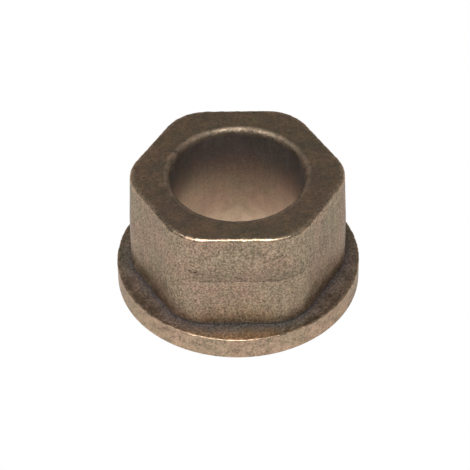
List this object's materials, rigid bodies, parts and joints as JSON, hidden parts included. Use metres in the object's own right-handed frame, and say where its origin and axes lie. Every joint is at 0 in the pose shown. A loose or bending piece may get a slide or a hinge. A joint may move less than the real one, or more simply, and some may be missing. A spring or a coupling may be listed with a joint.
{
  "type": "hexagonal flanged bushing",
  "caption": "Sintered bronze bushing: a hexagonal body with rounded corners on a round flange, with a plain chamfered through bore for a turning shaft.",
  "frame": {"origin": "centre of the flange's outer face, on the axis of the bore", "axes": "+Z along the bore from the flange towards the hexagon's end; a flat of the hexagon faces -Y and its opposite faces +Y"},
  "size_m": [0.035, 0.035, 0.0192],
  "materials": {
    "sintered_bronze": "oil-filled sintered bronze, brown, dull and finely grained, with burnished edges"
  },
  "bodies": {
    "root": {"bushing": "sintered_bronze"}
  },
  "joints": []
}
